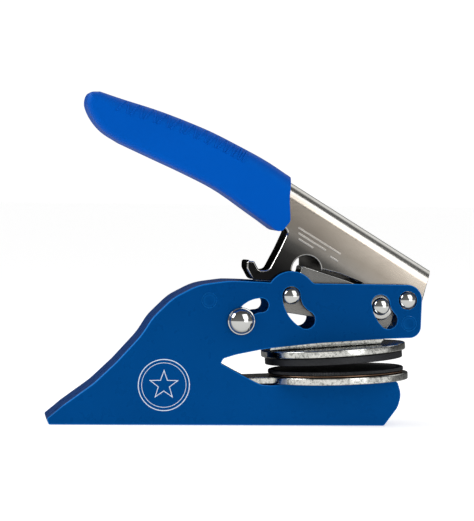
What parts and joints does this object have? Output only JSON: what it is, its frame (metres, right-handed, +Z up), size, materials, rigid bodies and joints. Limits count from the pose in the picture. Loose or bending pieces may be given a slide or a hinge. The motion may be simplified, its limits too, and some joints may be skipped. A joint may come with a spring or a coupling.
{
  "type": "seal embossing press",
  "caption": "Hand-held seal embossing press: slotted body with a spine, squeeze lever with a grip, floating press arm, round dies and a swinging storage lock.",
  "frame": {"origin": "middle of the box, on the surface that the press stands on", "axes": "+Z up, +X from the body's nose to the dies' front end, +Y across the press, away from the viewer"},
  "size_m": [0.1529, 0.058, 0.1317],
  "materials": {
    "body_paint": "deep blue gloss enamel",
    "base_rubber": "fine moulded grain",
    "pin_chrome": "mirror",
    "plate_chrome": "bright, with fine turning marks",
    "shim_copper": "dull copper",
    "die_black": "satin resin",
    "screw_steel": "zinc plated",
    "spring_steel": "drawn wire",
    "lever_nickel": "polished nickel plate",
    "roller_steel": "turned",
    "arm_steel": "plated sheet",
    "grip_plastic": "smooth moulded vinyl"
  },
  "bodies": {
    "root": {"body_shell": "body_paint", "rear_spacer_pin": "body_paint", "front_spacer_pin": "body_paint", "base_pad": "base_rubber", "handle_pivot_pin": "pin_chrome", "lower_die_plate": "plate_chrome", "lower_die_shim": "shim_copper", "lower_die": "die_black", "rear_seat_screw": "screw_steel", "front_seat_screw": "screw_steel", "return_spring": "spring_steel"},
    "handle": {"handle_lever": "lever_nickel", "grip_sleeve": "grip_plastic", "press_pin": "pin_chrome", "near_press_roller": "roller_steel", "far_press_roller": "roller_steel"},
    "press_arm": {"press_arm": "arm_steel", "guide_pin": "pin_chrome", "press_shoe": "plate_chrome", "upper_die_plate": "plate_chrome", "upper_die": "die_black", "rear_shoe_screw": "screw_steel", "front_shoe_screw": "screw_steel"},
    "lock": {"lock_shaft": "roller_steel", "near_lock_button": "pin_chrome", "far_lock_button": "pin_chrome"}
  },
  "joints": [
    {"name": "handle_squeeze", "type": "hinge", "parent": "root", "child": "handle", "pos_m": [0.0663, 0, 0.05], "axis": [0, -1, 0], "range_deg": [0, 19.5], "stiffness_Nm_per_rad": 1.2, "springref_deg": -20.05, "deforming": ["return_spring"]},
    {"name": "press_arm_close", "type": "hinge", "parent": "root", "child": "press_arm", "pos_m": [-0.04835, 0, 0.00003], "axis": [0, 1, 0], "range_deg": [0, 1.86]},
    {"name": "lock_swing", "type": "hinge", "parent": "root", "child": "lock", "pos_m": [0.0078, 0, 0.0392], "axis": [0, 1, 0], "range_deg": [0, 76]}
  ],
  "couplings": [
    {"joint": "press_arm_close", "follows": "handle_squeeze", "ratio": 0.094872}
  ]
}
